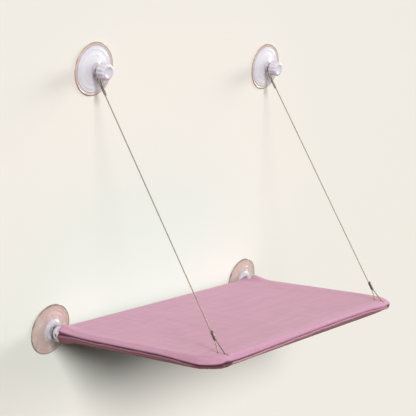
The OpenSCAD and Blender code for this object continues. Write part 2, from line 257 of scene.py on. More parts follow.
def make_rope(side):
    name = side_name(side)
    flip = Vector((side, 1, 1))
    route = [point * flip for point in evenly(rope_route(), ROPE_RING_STEP * MM)]
    rope = stranded_tube(f"{name}_stranded_rope", route, ROPE_R, ROPE_STRANDS, ROPE_LAY)
    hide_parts(f"{name}_wire_rope")
    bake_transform(rope)
    return rope


ropes = [make_rope(side) for side in (-1, 1)]


# Materials

def linear(colour):
    """An sRGB hex colour as linear red, green, blue and alpha."""
    channels = [int(colour[i:i + 2], 16) / 255 for i in (1, 3, 5)]
    return [c / 12.92 if c <= 0.04045 else ((c + 0.055) / 1.055) ** 2.4 for c in channels] + [1]


def feed(tree, node, inputs):
    """Gives a node its inputs: each is a value, or an output of another node to link."""
    for name, value in inputs.items():
        if isinstance(value, bpy.types.NodeSocket):
            tree.links.new(value, node.inputs[name])
        else:
            node.inputs[name].default_value = value


def add(tree, kind, inputs=None, **settings):
    """A node with its settings and inputs."""
    made = tree.nodes.new(f"ShaderNode{kind}")
    for name, value in settings.items():
        setattr(made, name, value)
    feed(tree, made, inputs or {})
    return made


def surface(name, colour, roughness, **sockets):
    """A material with a Principled shader; returns the material, its tree and the shader."""
    material = bpy.data.materials.new(name)
    material.use_nodes = True
    tree = material.node_tree
    shader = tree.nodes["Principled BSDF"]
    feed(tree, shader, {"Base Color": linear(colour), "Roughness": roughness})
    feed(tree, shader, {socket.replace("_", " "): value for socket, value in sockets.items()})
    return material, tree, shader


# Thread pitch of the canvas: about 0.5 mm on the real cloth, drawn at 1.6 mm so that it shows
THREAD_PITCH = 1.6
# How much the crossing threads count beside the streaks, in colour and in relief
THREAD_TINT = 0.09
THREAD_RELIEF = 0.4
CLOTH_RELIEF = 0.3
# Uneven threads show as faint streaks, this long and this wide
STREAK_L = 60
STREAK_W = 5
WARP_SEED = (3.7, 1.3, 0)
# Levels of the streaks at which the cloth has its deep and its pale colour
DYE_LEVELS = (0.35, 0.65)
# The cloth is darker within this distance of a seam, as painted shade in the seam, and a little lighter over
# the edge beside it, as a painted highlight
SEAM_SHADE = 3.2
EDGE_HIGHLIGHT = (3, 26)
EDGE_HIGHLIGHT_SHARE = 0.3


def streaks(tree, flat, scale, seed):
    """Faint streaks along one direction of the weave."""
    place = add(tree, "Mapping", {"Vector": flat, "Scale": scale, "Location": seed})
    return add(tree, "TexNoise", {"Vector": place.outputs["Vector"], "Scale": 1, "Detail": 3}).outputs["Fac"]


def woven_polyester(name, pale, deep, edge_highlight, seam_shade_colour):
    """Plain woven polyester canvas: matt threads that cross, a soft sheen, and faint streaks of dye."""
    material, tree, shader = surface(name, pale, 0.85, Sheen_Weight=0.12, Sheen_Roughness=0.5,
                                     Specular_IOR_Level=0.25)
    place = add(tree, "TexCoord").outputs["Object"]
    flat = add(tree, "Mapping", {"Vector": place, "Rotation": (TILT, 0, 0)}).outputs["Vector"]
    split = add(tree, "SeparateXYZ", {"Vector": flat})
    waves = []
    for axis in ("X", "Y"):
        scaled = add(tree, "Math", {0: split.outputs[axis], 1: pi / (THREAD_PITCH * MM)},
                     operation="MULTIPLY")
        waves.append(add(tree, "Math", {0: scaled.outputs[0]}, operation="SINE").outputs[0])
    crossed = add(tree, "Math", {0: waves[0], 1: waves[1]}, operation="MULTIPLY").outputs[0]
    along, over = 1 / (STREAK_L * MM), 1 / (STREAK_W * MM)
    weft = streaks(tree, flat, (along, over, over), (0, 0, 0))
    warp = streaks(tree, flat, (over, along, over), WARP_SEED)
    both = add(tree, "Math", {0: weft, 1: warp}, operation="ADD").outputs[0]
    woven = add(tree, "Math", {0: crossed, 1: THREAD_TINT, 2: both}, operation="MULTIPLY_ADD").outputs[0]
    dye = add(tree, "Math", {0: woven, 1: 0.5}, operation="MULTIPLY").outputs[0]
    ramp = add(tree, "ValToRGB", {"Fac": dye})
    for i, colour in enumerate((deep, pale)):
        ramp.color_ramp.elements[i].position = DYE_LEVELS[i]
        ramp.color_ramp.elements[i].color = linear(colour)
    # Painted shade darkens the cloth near a seam, and a painted highlight lightens the edge just beside it
    gap = add(tree, "Attribute", attribute_name="seam_gap").outputs["Fac"]
    bright = add(tree, "MapRange", {"Value": gap, "From Min": EDGE_HIGHLIGHT[0], "From Max": EDGE_HIGHLIGHT[1],
                                    "To Min": EDGE_HIGHLIGHT_SHARE, "To Max": 0})
    highlighted = add(tree, "Mix", {0: bright.outputs["Result"], 6: ramp.outputs["Color"], 7: linear(edge_highlight)},
                 data_type="RGBA").outputs[2]
    near = add(tree, "MapRange", {"Value": gap, "From Max": SEAM_SHADE, "To Min": 1, "To Max": 0},
               interpolation_type="SMOOTHERSTEP")
    seam_shaded = add(tree, "Mix", {0: near.outputs["Result"], 6: highlighted, 7: linear(seam_shade_colour)},
                 data_type="RGBA").outputs[2]
    height = add(tree, "Math", {0: crossed, 1: THREAD_RELIEF, 2: both}, operation="MULTIPLY_ADD").outputs[0]
    bump = add(tree, "Bump", {"Height": height, "Distance": CLOTH_RELIEF * MM, "Strength": 0.5})
    feed(tree, shader, {"Base Color": seam_shaded, "Normal": bump.outputs["Normal"]})
    return material


# Rings from the mould, and milky clouds this wide in the clear plastic
RING_PITCH = 3.1
RING_SHARE = 0.12
CLOUD_L = 50 / 3
VINYL_RELIEF = 0.4


def moulded_vinyl(name, bands, roughness):
    """Soft clear PVC, moulded: glossy and milky, with faint rings from the mould and a darker lip.

    The bands are pairs of a share of the cup's radius and the colour that starts there.
    """
    material, tree, shader = surface(name, bands[0][1], roughness, IOR=1.53, Transmission_Weight=0.1,
                                     Coat_Weight=0.15, Coat_Roughness=0.15, Alpha=0.9)
    place = add(tree, "Attribute", attribute_name="own_place").outputs["Vector"]
    flat = add(tree, "VectorMath", {0: place, 1: (1, 1, 0)}, operation="MULTIPLY").outputs["Vector"]
    reach = add(tree, "VectorMath", {0: flat}, operation="LENGTH").outputs["Value"]
    share = add(tree, "Math", {0: reach, 1: CUP_R * MM}, operation="DIVIDE").outputs[0]
    ramp = add(tree, "ValToRGB", {"Fac": share})
    stops = ramp.color_ramp.elements
    for position, colour in bands[1:-1]:
        stops.new(position).color = linear(colour)
    stops[0].color = linear(bands[0][1])
    stops[len(bands) - 1].position = bands[-1][0]
    stops[len(bands) - 1].color = linear(bands[-1][1])
    grain = add(tree, "TexNoise", {"Vector": place, "Scale": 1 / (CLOUD_L * MM), "Detail": 4}).outputs["Fac"]
    cloud = add(tree, "MapRange", {"Value": grain, "From Min": 0.45, "From Max": 0.75, "To Max": 0.35})
    milky = add(tree, "Mix", {0: cloud.outputs["Result"], 6: ramp.outputs["Color"], 7: linear("#FFFFFF")},
                data_type="RGBA").outputs[2]
    rings = add(tree, "Math", {0: reach, 1: 2 * pi / (RING_PITCH * MM)}, operation="MULTIPLY")
    wave = add(tree, "Math", {0: rings.outputs[0]}, operation="SINE").outputs[0]
    height = add(tree, "Math", {0: wave, 1: RING_SHARE, 2: grain}, operation="MULTIPLY_ADD").outputs[0]
    bump = add(tree, "Bump", {"Height": height, "Distance": VINYL_RELIEF * MM, "Strength": 0.3})
    feed(tree, shader, {"Base Color": milky, "Normal": bump.outputs["Normal"]})
    return material


def grained(name, colour, roughness, grain_w, detail, depth, strength, **sockets):
    """A material with a relief of small grains, whose width and depth are in millimetres.

    Returns the material, its tree, its shader and the grain.
    """
    material, tree, shader = surface(name, colour, roughness, **sockets)
    place = add(tree, "TexCoord").outputs["Object"]
    noise = add(tree, "TexNoise", {"Vector": place, "Scale": 1 / (grain_w * MM), "Detail": detail})
    grain = noise.outputs["Fac"]
    bump = add(tree, "Bump", {"Height": grain, "Distance": depth * MM, "Strength": strength})
    feed(tree, shader, {"Normal": bump.outputs["Normal"]})
    return material, tree, shader, grain


def speckled_metal(name, colour, roughness, mark_w, mark_depth):
    """Metal with marks from how it was made: turned, drawn or plated, drawn coarse so that they show."""
    material, tree, shader, marks = grained(name, colour, roughness, mark_w, 5, mark_depth, 0.4, Metallic=1.0)
    level = add(tree, "MapRange", {"Value": marks, "To Min": roughness - 0.08, "To Max": roughness + 0.14})
    feed(tree, shader, {"Roughness": level.outputs["Result"]})
    return material


# Flow marks of the moulded plastic, and how far light goes in
FLOW_W = 25 / 3
FLOW_RELIEF = 0.2
GLOW_DEPTH = 4


def frosted_polypropylene():
    """Moulded translucent polypropylene: a waxy white with a lilac cast, and light that goes in a little."""
    material, tree, shader, flow = grained(
        "frosted_polypropylene", "#E6E2EA", 0.36, FLOW_W, 4, FLOW_RELIEF, 0.3,
        IOR=1.49, Subsurface_Weight=0.3, Subsurface_Scale=GLOW_DEPTH * MM)
    level = add(tree, "MapRange", {"Value": flow, "To Min": 0.28, "To Max": 0.46})
    tint = add(tree, "MapRange", {"Value": flow, "From Min": 0.4, "From Max": 0.7})
    cast = add(tree, "Mix", {0: tint.outputs["Result"], 6: linear("#CFC9D4"), 7: linear("#DFDBE3")},
               data_type="RGBA").outputs[2]
    feed(tree, shader, {"Base Color": cast, "Roughness": level.outputs["Result"]})
    return material


# The canvas is a dusty pink on top. The lower panel and the flap are the same canvas, painted darker and
# browner as painted shade, with an even darker painted shade at their seam
canvas_top = woven_polyester("woven_polyester_top", "#C28EA5", "#B7839A", "#D2A6BE", "#6E3A55")
canvas_shaded = woven_polyester("woven_polyester_shaded", "#855056", "#734248", "#855056", "#3A1822")
# The piping is the same canvas, rolled, and the thread is a little darker than the canvas
piping_cloth = woven_polyester("piping_polyester", "#BE8798", "#A87182", "#BE8798", "#5A2A42")
thread = woven_polyester("sewing_thread", "#B5828F", "#A06F7C", "#B5828F", "#8A5068")
# Colour bands of the cups from the middle out. On the upper cups the thin dark ring at 0.885 is a painted
# shadow of the raised lip
UPPER_BANDS = [(0, "#CFC8D2"), (0.26, "#C9C2CC"), (0.3, "#E2E0E6"), (0.6, "#F1EFF5"), (0.86, "#E9E6EE"),
               (0.885, "#A98E92"), (0.91, "#EFD9D2"), (0.95, "#E3C9BC"), (0.985, "#B59C80")]
LOWER_BANDS = [(0, "#D2CDD6"), (0.41, "#CCC4CE"), (0.47, "#BFA6A0"), (0.7, "#D2B8AE"), (0.95, "#CDB1A8"),
               (0.975, "#7C6E60")]
upper_vinyl = moulded_vinyl("clear_vinyl", UPPER_BANDS, 0.2)
lower_vinyl = moulded_vinyl("warm_vinyl", LOWER_BANDS, 0.24)
frosted = frosted_polypropylene()
# Zinc plate is a soft grey, and turned brass is yellow and brighter
steel = speckled_metal("zinc_plated_steel", "#8D867F", 0.32, 10 / 9, 0.02)
brass = speckled_metal("turned_brass", "#C79E50", 0.3, 5 / 6, 0.02)
# Drawn stainless wire is dull and brownish, and pressed aluminium is a dark grey
rope_steel = speckled_metal("stainless_wire", "#7A6E5E", 0.38, 0.4, 0.05)
bright_aluminium = speckled_metal("crimped_aluminium", "#6F655C", 0.36, 10 / 7, 0.06)
# Powder coated steel tube is grey, with a fine orange peel
PEEL_W = 10 / 7
PEEL_DEPTH = 0.1
coated = grained("powder_coated_tube", "#8F9195", 0.45, PEEL_W, 2, PEEL_DEPTH, 0.5)[0]
CAD_FINISHES = {
    "stud": steel, "washer": steel, "insert": brass, "lug": steel, "pin": steel,
    "knuckle": frosted, "tube": coated, "bend": coated,
}


def dress(piece, material):
    piece.data.materials.clear()
    piece.data.materials.append(material)


def settle(piece, material, body, replaced):
    """Gives a piece its material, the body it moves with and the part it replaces."""
    dress(piece, material)
    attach(piece, body)
    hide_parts(replaced)


for rope in ropes:
    dress(rope, rope_steel)
for name, node in nodes.items():
    for ending, finish in CAD_FINISHES.items():
        if name.endswith(ending):
            dress(node, finish)


# Turned pieces: suction cups and knobs

def face_outwards(piece):
    """Closes a piece's open ends, turns its faces outwards and smooths all but its ends."""
    mesh = bmesh.new()
    mesh.from_mesh(piece.data)
    bmesh.ops.holes_fill(mesh, edges=mesh.edges, sides=0)
    bmesh.ops.recalc_face_normals(mesh, faces=mesh.faces)
    mesh.to_mesh(piece.data)
    mesh.free()
    for face in piece.data.polygons:
        face.use_smooth = len(face.vertices) == 4


def turned(name, rings, sides):
    """A lathed piece round Z from (radius, height) rings in millimetres, closed at both ends."""
    radius, height = rings[0]
    bpy.ops.mesh.primitive_circle_add(vertices=sides, radius=radius * MM, location=(0, 0, height * MM))
    piece = bpy.context.object
    piece.name = piece.data.name = name
    bpy.ops.object.transform_apply()
    bpy.ops.object.mode_set(mode="EDIT")
    bpy.ops.mesh.select_all(action="SELECT")
    for r, h in rings[1:]:
        bpy.ops.mesh.extrude_edges_move(TRANSFORM_OT_translate={"value": (0, 0, (h - height) * MM)})
        bpy.ops.transform.resize(value=(r / radius, r / radius, 1), center_override=(0, 0, h * MM))
        radius, height = r, h
    bpy.ops.mesh.edge_face_add()
    bpy.ops.object.mode_set(mode="OBJECT")
    face_outwards(piece)
    return piece


def stand_on_glass(piece, x, z):
    """Turns a piece drawn along Z to point into the room, with its place in its mesh.

    Each point's place on the piece itself is kept first, for the patterns that follow it.
    """
    kept = piece.data.attributes.new("own_place", "FLOAT_VECTOR", "POINT")
    for i, vertex in enumerate(piece.data.vertices):
        kept.data[i].vector = vertex.co
    piece.data.transform(Matrix.Translation(Vector((x, 0, z)) * MM) @ Matrix.Rotation(pi / 2, 4, "X"))
    piece.data.update()


SKIRT_R = 38.6
SKIRT_H = 1.35
DOME_H = 6.5
DOME_STEPS = 14
DOME_POWER = 1.7
# Steps at which the dome has a raised ring, and the ring's shape as distances out and up
RAISED_STEPS = (4, 8)
RAISED_RING = [(0.5, 0), (0.2, 0.2), (-0.4, 0.25)]
CUP_SIDES = 96


def cup_rings(neck_r, neck_h, hole_r):
    """Half section of a suction cup: hollow, sealing ring, rolled lip, dome with two raised rings, neck."""
    rings = [(0.5, 1.6), (12, 0.8), (24, 0.05), (39.6, 0), (CUP_R - 0.1, 0.2), (CUP_R, 0.8),
             (CUP_R - 0.2, 1.4), (CUP_R - 0.9, 1.7), (SKIRT_R + 0.3, 1.6), (SKIRT_R, SKIRT_H)]
    for i in range(1, DOME_STEPS + 1):
        share = i / DOME_STEPS
        r = SKIRT_R + (neck_r + 1 - SKIRT_R) * share
        h = SKIRT_H + (DOME_H - SKIRT_H) * share ** DOME_POWER
        rings += [(r + out, h + up) for out, up in (RAISED_RING if i in RAISED_STEPS else [(0, 0)])]
    rings += [(neck_r + 0.35, 7), (neck_r, 7.8), (neck_r, neck_h - 0.6), (neck_r - 0.6, neck_h),
              (hole_r, neck_h), (hole_r - 0.3, neck_h - 0.8)]
    return rings


# Each level's cups: place, neck radius, neck height, hole radius, finish and slot
CUPS = {
    "upper": (ROPE_X, CUP_RISE, 9, 12, 4.3, upper_vinyl, "upper_cup_vinyl"),
    "lower": (CUP_X, 0, 15.5, 9.5, 8.2, lower_vinyl, "lower_cup_vinyl"),
}


def make_cup(side, level):
    x, z, neck_r, neck_h, hole_r, finish, slot = CUPS[level]
    name = f"{level}_{side_name(side)}"
    cup = turned(f"{name}_moulded_cup", cup_rings(neck_r, neck_h, hole_r), CUP_SIDES)
    stand_on_glass(cup, side * x, z)
    settle(cup, finish, "root", f"{name}_suction_cup")


for side in (-1, 1):
    make_cup(side, "upper")
    make_cup(side, "lower")


KNOB_R = 13
KNOB_BASE = 15.7
KNOB_L = 15.2
# Section of a knob as radius and height over its base: bore, rolled foot, grip, crown and shallow dish
KNOB_SECTION = [(4.4, 1.2), (4.4, 0), (11.6, 0), (12.6, 0.4), (KNOB_R, 1.4), (KNOB_R, 4), (12.8, 8),
                (12.6, 11.2), (12, 13.2), (10.6, 14.7), (8.6, KNOB_L), (7.2, 15), (6.4, 14.3), (3, 14.1)]
# Flutes: how many, where they lie along the knob and how deep, as a share of its radius
FLUTES = 12
FLUTE_SPAN = (0.3, 14.8)
FLUTE_INNER_R = 10
FLUTE_SHARE = 0.075
FLUTE_POWER = 1.5


def make_knob(side):
    """A fluted clamping knob."""
    name = side_name(side)
    rings = [(r, KNOB_BASE + h) for r, h in KNOB_SECTION]
    knob = turned(f"{name}_fluted_knob", rings, 8 * FLUTES)
    low, high = ((KNOB_BASE + end) * MM for end in FLUTE_SPAN)
    for vertex in knob.data.vertices:
        x, y, z = vertex.co
        if low < z < high and hypot(x, y) > FLUTE_INNER_R * MM:
            dip = max(0, cos(FLUTES * atan2(y, x))) ** FLUTE_POWER
            vertex.co.x *= 1 - FLUTE_SHARE * dip
            vertex.co.y *= 1 - FLUTE_SHARE * dip
    stand_on_glass(knob, side * ROPE_X, CUP_RISE)
    settle(knob, frosted, f"{name}_knob", f"upper_{name}_knob")


for side in (-1, 1):
    make_knob(side)


# Crimped ferrules

FERRULE_WALL = 0.75
FERRULE_SIDES = 32
FERRULE_CUTS = 24
# The rolled ends are this long and start at this share of the full section
ROLLED_L = 0.5
ROLLED_SHARE = 0.88
# Two crimps press the sleeve in by this share, this wide, at these shares of its length from the middle
CRIMP_SHARE = 0.16
CRIMP_L = 1.5
CRIMP_PLACE_SHARES = (-0.22, 0.22)


def make_ferrule(side, level):
    """An oval sleeve pressed flat on the two strands, with two crimp marks and rolled ends."""
    name = f"{level}_{side_name(side)}_ferrule"
    bpy.ops.mesh.primitive_cylinder_add(vertices=FERRULE_SIDES, radius=MM, depth=MM, end_fill_type="NGON")
    sleeve = bpy.context.object
    sleeve.name = sleeve.data.name = f"{name}_crimped"
    bpy.ops.object.mode_set(mode="EDIT")
    for i in range(1, FERRULE_CUTS):
        bpy.ops.mesh.select_all(action="SELECT")
        bpy.ops.mesh.bisect(plane_co=(0, 0, (i / FERRULE_CUTS - 0.5) * MM), plane_no=(0, 0, 1))
    bpy.ops.object.mode_set(mode="OBJECT")
    wide, thick = STRAND + ROPE_R + FERRULE_WALL, ROPE_R + FERRULE_WALL
    for vertex in sleeve.data.vertices:
        x, y, z = (c / MM for c in vertex.co)
        end = min(1, (0.5 - abs(z)) * FERRULE_L / ROLLED_L)
        round_end = ROLLED_SHARE + (1 - ROLLED_SHARE) * sqrt(max(0, 1 - (1 - end) ** 2))
        crimp = 1 - CRIMP_SHARE * sum(exp(-((z - at) * FERRULE_L / CRIMP_L) ** 2)
                                      for at in CRIMP_PLACE_SHARES)
        vertex.co = Vector((x * wide * round_end * (2 - crimp), y * thick * round_end * crimp,
                            z * FERRULE_L)) * MM
    if level == "upper":
        middle, wide_way = upper_point(0, UPPER_EYE_L + FERRULE_L / 2), Vector((1, 0, 0))
    else:
        middle, wide_way = lower_point(0, LOWER_EYE_L + FERRULE_L / 2), ROPE_SIDE
    thin_way = ROPE_DIR.cross(wide_way)
    turn = Matrix((wide_way, thin_way, ROPE_DIR)).transposed().to_4x4()
    sleeve.data.transform(Matrix.Translation(middle * Vector((side, 1, 1))) @ turn)
    face_outwards(sleeve)
    settle(sleeve, bright_aluminium, "root" if level == "upper" else "bed", name)


for side in (-1, 1):
    for level in ("upper", "lower"):
        make_ferrule(side, level)


# Cloth cover: x runs across the bed, s forward from the hinge axis, and heights up from the tubes' plane

GRID_STEP = 3
LEAST_GRID_STEP = 0.5
EDGE_RUN_STEPS = 40
WRAP_STEPS = 14
# Angle round the edge to the seam: 1 is the top panel, -1 the lower one
TOP_ANGLE = acos(SEAM_Z / EDGE_R)
SEAM_ANGLES = {1: TOP_ANGLE, -1: pi - TOP_ANGLE}
# The edge's section: 2 is a circle, and a higher power is squarer
EDGE_POWER = 3.8
# Between these places the round sleeve over a knuckle becomes the bed's own edge
SLEEVE_SPAN = (20, 60)
MOUTH_WIDE = 14
MOUTH_EASE = 2

# At the right front corner the seam sinks, and the edge is drawn out by a share of its width to a thin lip.
# It begins and is full at these places
TIP_SPAN_X = (160, 235)
TIP_SPAN_S = (210, 270)
TIP_SINK = 2.4
TIP_SHARE = 0.3
TIP_POWER = 1.5
TIP_EASE_SHARE = 0.75

# Left side's seam: its height, its rise at the mouth and its sink towards the front
LEFT_Z = 0.4
MOUTH_RISE = 2.2
MOUTH_RISE_L = 35
LEFT_SINK = 3.6
LEFT_SINK_SPAN = (190, 280)
# Front's seam: its height at the left, its climb to the right and its waves at the left corner
FRONT_Z = -3.2
FRONT_CLIMB = 5.2
FRONT_CLIMB_SPAN = (-230, 100)
CORNER_WAVE = 0.5
CORNER_WAVE_L = 13
CORNER_WAVE_X = -225
CORNER_WAVE_REACH = 40

# Gathers at a sleeve's mouth, broad and fine: height, waves in a radian, start and slant; then their reaches
PUCKERS = ((0.6, 9, 0.5, 0), (0.3, 17, 2, 0.05))
PUCKER_LIFT = 0.2
PUCKER_L = 17
PUCKER_INWARD_L = 22
FOLD_SHADE_L = 9

# Ripples along the seam: height, what the corners add and where, distance from the seam, and reach
GATHER_H = 0.28
CORNER_GATHER_H = 0.3
CORNER_GATHER_AT = (235, 285)
CORNER_GATHER_REACH = (30, 25)
GATHER_RUN = 2.5
GATHER_REACH = 3.5
# A short wave in a long one, and where the long one starts: in x and in s
GATHER_WAVES = ((1.9, 5.3, 1), (1.7, 6.1, 2))

# Beside the seam the cloth swells, and at it the cloth is drawn in
SWELL_H = 0.5
SWELL_RUN = 3
SWELL_L = 1.4
DRAWN_IN = 1.3
DRAWN_IN_L = 1.0
# The seam gapes a little at both front corners: x, s, reach and depth
SEAM_GAPES = [(-228, 288, 7, 2.4), (227, 288, 6, 2.2)]
# What a millimetre of gape adds to the swell's height and run, and to the draw's depth and width
GAPE_SHARES = (0.25, 0.6, 0.5, 0.5)

# The stretched middle dips by this much, and has shallow waves: height, wavelengths and how they bend
SAG = 2.2
UNDERSIDE_SAG_SHARE = 0.5
SAG_POWERS = (4, 0.6)
WAVE_H = 0.16
WAVE_X = 23
WAVE_S = 19
WAVE_BENDS = ((0.8, 31), (0.6, 37))
# A crease runs outwards from each slit
CREASE_S = 283
CREASE_L = 30
CREASE_H = 0.35
CREASE_W = 1.3
CREASE_SLANT = 2

# Colour follows the distance from the seam: painted shade at it, and a painted highlight beside it. A gape
# and a gather's hollow count as nearer to it, so they get more painted shade, and the front's seam catches
# more light right of the left corner, so it counts as farther off over this span
FAR_FROM_SEAM = 80
GAPE_SHADE = 0.3
FOLD_SHADE_SHARE = 0.85
FRONT_PALE = 1.7
FRONT_PALE_SPAN = (-220, -100)


def climb(place, span):
    """0 before a span, 1 past it, and a smooth rise between."""
    start, end = span
    x = min(1, max(0, (place - start) / (end - start)))
    return x * x * (3 - 2 * x)


def bell(distance, reach):
    """1 at no distance, falling softly towards 0 past the reach."""
    return exp(-(distance / reach) ** 2)


def mouth_radius(s):
    """Radius of the cloth round the side tube's axis: wide over the knuckle, then narrowing to the edge."""
    wide = MOUTH_R - MOUTH_TAPER * (max(s, MOUTH_S) - MOUTH_S)
    apart = wide - EDGE_R
    return EDGE_R + (apart + sqrt(apart * apart + MOUTH_EASE)) / 2


def squared(angle, power):
    """How much further out the edge's section reaches than a circle, at an angle from straight up or down."""
    return (abs(cos(angle)) ** power + abs(sin(angle)) ** power) ** (-1 / power)


def tip_share(x, s):
    """1 at the right front corner, 0 well away from it."""
    return climb(x, TIP_SPAN_X) * climb(s, TIP_SPAN_S)


def edge_power(x, s):
    """The edge's section is squarer than a circle, but round at the mouths and thin at the right corner."""
    power = 2 + (EDGE_POWER - 2) * climb(s, SLEEVE_SPAN)
    return power + (TIP_POWER - power) * tip_share(x, s)


def drawn_out(x, s):
    """How much wider than round the edge's section is."""
    return 1 + TIP_SHARE * tip_share(x, s)


def section_reach(height, power):
    """How far out an edge's section of radius 1 reaches at a height."""
    return (1 - min(1, abs(height)) ** power) ** (1 / power)


def skin_reach(x, s, height):
    """How far out from the tube's axis the edge's skin lies at a height above the bed's middle."""
    radius = mouth_radius(s)
    return radius * section_reach(height / radius, edge_power(x, s)) * drawn_out(x, s)


def seam_height(x, s):
    """Height of the seam: it sinks at both front corners, and is highest right of the middle."""
    left = LEFT_Z + MOUTH_RISE * bell(s - MOUTH_S, MOUTH_RISE_L)
    left -= LEFT_SINK * climb(s, LEFT_SINK_SPAN)
    right = SEAM_Z - TIP_SINK * tip_share(HALF_W, s)
    front = FRONT_Z + FRONT_CLIMB * climb(x, FRONT_CLIMB_SPAN)
    front -= TIP_SINK * tip_share(x, DEPTH)
    front += CORNER_WAVE * sin(x / CORNER_WAVE_L) * bell(x - CORNER_WAVE_X, CORNER_WAVE_REACH)
    at_front = climb(s, (ARC_S, DEPTH))
    return (left if x < 0 else right) * (1 - at_front) + front * at_front


def seam_angle(x, s, up):
    """Angle of the seam from the middle of a panel's edge, straight up or straight down."""
    height = up * seam_height(x, s) / EDGE_R
    return atan2(section_reach(height, edge_power(x, s)), height)


def pucker(turn, s):
    """Gathers at the mouth of the sleeve, which fade out along the bed."""
    height = sum((high * sin(waves * turn + start + slant * s) for high, waves, start, slant in PUCKERS),
                 PUCKER_LIFT)
    return height * exp(-max(0, s - MOUTH_S) / PUCKER_L)


def fold_shade(turn, s):
    """How far a point lies down in a gather at the sleeve's mouth, from 0 to 1."""
    waves, start = PUCKERS[0][1:3]
    return max(0, -sin(waves * turn + start)) * exp(-max(0, s - MOUTH_S) / FOLD_SHADE_L)


def gathers(x, s, run):
    """Small ripples along the seam, which fade within a few millimetres of it."""
    wave = sum(sin(place / short) * sin(place / long + start)
               for place, (short, long, start) in zip((x, s), GATHER_WAVES))
    corner = (bell(abs(x) - CORNER_GATHER_AT[0], CORNER_GATHER_REACH[0])
              * bell(s - CORNER_GATHER_AT[1], CORNER_GATHER_REACH[1]))
    return (GATHER_H + CORNER_GATHER_H * corner) * wave * exp(-abs(run - GATHER_RUN) / GATHER_REACH)


def seam_gape(x, s):
    """How much deeper than elsewhere the seam is here."""
    return sum(deep * bell(hypot(x - at_x, s - at_s), wide) for at_x, at_s, wide, deep in SEAM_GAPES)


def seam_shape(x, s, angle, limit):
    """The cloth swells just inside the seam and is drawn in at it, most where the seam gapes."""
    run = (limit - angle) * EDGE_R
    gape = seam_gape(x, s)
    higher, further, deeper, wider = (share * gape for share in GAPE_SHARES)
    swell = (SWELL_H + higher) * bell(run - SWELL_RUN - further, SWELL_L)
    drawn_in = DRAWN_IN * (1 - TIP_EASE_SHARE * tip_share(x, s)) + deeper
    return swell - drawn_in * bell(run, DRAWN_IN_L + wider) + gathers(x, s, run)


def top_relief(x, s, up):
    """The stretched middle dips between the tubes, with shallow waves and a crease at each slit."""
    across, along = SAG_POWERS
    middle = max(0, 1 - (min(abs(x), HALF_W) / HALF_W) ** across)
    middle *= max(0, sin(pi * s / DEPTH)) ** along
    (bend_x, bend_x_l), (bend_s, bend_s_l) = WAVE_BENDS
    waves = WAVE_H * sin(x / WAVE_X + bend_x * sin(s / bend_x_l))
    waves *= sin(s / WAVE_S + bend_s * sin(x / bend_s_l))
    if up < 0:
        return UNDERSIDE_SAG_SHARE * SAG * middle + waves
    crease = 0
    past_slit = (abs(x) - ROPE_X) / CREASE_L
    if 0 < past_slit < 1:
        crease = CREASE_H * bell(s - CREASE_S - CREASE_SLANT * past_slit, CREASE_W) * (1 - past_slit)
    return -SAG * middle + waves - crease


def shaded_run(run, x, s):
    """A distance from the seam as the colour takes it: shorter where the seam gapes."""
    return run / (1 + GAPE_SHADE * seam_gape(x, s))


def wrapped(x, s, past, core, up):
    """Where the cloth is after a distance round the edge: angle, radius and distance left to the seam.

    The core is the radius of the cloth round the tube there.
    """
    seam = seam_angle(x, s, up)
    angle = past / EDGE_R * seam / SEAM_ANGLES[up]
    radius = core * squared(angle, edge_power(x, s)) + seam_shape(x, s, angle, seam)
    return angle, radius, (seam - angle) * EDGE_R


def corner_point(side, past_x, past_s, up):
    """A point round a front corner, from its distances past the start of the corner's arc."""
    reach = max(past_x, past_s)
    if past_x >= past_s:
        turn = pi / 4 * past_s / past_x
    else:
        turn = pi / 2 - pi / 4 * past_x / past_s
    x = side * (ARC_X + CORNER_R * cos(turn))
    s = ARC_S + CORNER_R * sin(turn)
    angle, radius, left = wrapped(x, s, max(0, reach - CORNER_R), EDGE_R, up)
    out = min(reach, CORNER_R) + radius * sin(angle) * drawn_out(x, s)
    point = on_bed(side * (ARC_X + out * cos(turn)), ARC_S + out * sin(turn), up * radius * cos(angle))
    return point, shaded_run(left + max(0, CORNER_R - reach), x, s)


def side_point(side, past, s, up):
    """A point round a side's edge, from its distance past the side tube's axis."""
    x = side * HALF_W
    angle, radius, left = wrapped(x, s, past, mouth_radius(s), up)
    radius += pucker(angle, s)
    out = radius * sin(angle) * drawn_out(x, s)
    point = on_bed(side * (HALF_W + out), s, up * radius * cos(angle))
    return point, left * (1 - FOLD_SHADE_SHARE * fold_shade(angle, s))


def front_point(x, past, swell, up):
    """A point round the front edge, from its distance past the front tube's axis."""
    angle, radius, left = wrapped(x, DEPTH, past, EDGE_R + swell, up)
    out = radius * sin(angle) * drawn_out(x, DEPTH)
    point = on_bed(x, DEPTH + out, up * radius * cos(angle))
    return point, shaded_run(left + FRONT_PALE * climb(x, FRONT_PALE_SPAN), x, DEPTH)


def rear_point(x, past, swell, up):
    """A point round the rear edge, which has no seam."""
    angle = past / EDGE_R
    radius = (EDGE_R + swell) * squared(angle, EDGE_POWER)
    return on_bed(x, -radius * sin(angle), up * radius * cos(angle)), FAR_FROM_SEAM


def cover_point(a, b, up):
    """A point of the cover from its distances along the cloth: across, and forward of the rear tube.

    Returns the point and its distance along the cloth from the seam, in millimetres.
    """
    side = -1 if a < 0 else 1
    s = min(max(b, 0), DEPTH)
    gap = HALF_W - abs(a)
    past_x, past_s = CORNER_R - gap, b - ARC_S
    if past_x > 0 and past_s > 0:
        return corner_point(side, past_x, past_s, up)
    if gap < 0:
        return side_point(side, -gap, s, up)
    swell = (mouth_radius(s) - EDGE_R) * bell(gap, MOUTH_WIDE)
    if b < 0:
        return rear_point(a, -b, swell, up)
    if b > DEPTH:
        return front_point(a, b - DEPTH, swell, up)
    ripple = pucker(-gap / MOUTH_R, s) * exp(-gap / PUCKER_INWARD_L)
    point = on_bed(a, s, up * (EDGE_R + swell + top_relief(a, s, up) + ripple))
    return point, SEAM_ANGLES[up] * EDGE_R + min(gap, DEPTH - s)


